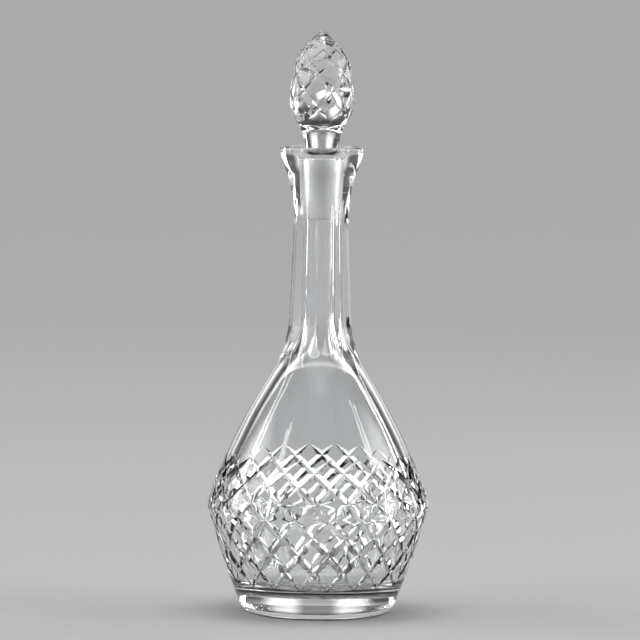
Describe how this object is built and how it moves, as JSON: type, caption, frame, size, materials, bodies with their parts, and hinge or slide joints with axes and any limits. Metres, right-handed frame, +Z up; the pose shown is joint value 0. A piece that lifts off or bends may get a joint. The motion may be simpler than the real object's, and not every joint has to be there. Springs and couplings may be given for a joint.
{
  "type": "stoppered carafe",
  "caption": "Cut-glass carafe with a diamond-cut bowl, a flat-panelled neck, a flared mouth, a star-cut base and a loose ground stopper that lifts out.",
  "frame": {"origin": "centre of the circle that the carafe stands on", "axes": "+Z up along the neck; the middle of one flat neck panel faces -Y"},
  "size_m": [0.1242, 0.1242, 0.3279],
  "materials": {
    "clear_crystal": "clear heavy crystal, fire-polished inside, cut and polished outside",
    "stopper_crystal": "clear solid crystal, cut and polished head, finely ground peg"
  },
  "bodies": {
    "decanter": {"decanter_body": "clear_crystal"},
    "stopper": {"stopper": "stopper_crystal"}
  },
  "joints": [
    {"name": "stopper_lift", "type": "slide", "parent": "decanter", "child": "stopper", "axis": [0, 0, 1], "range_m": [0, 0.055]}
  ]
}
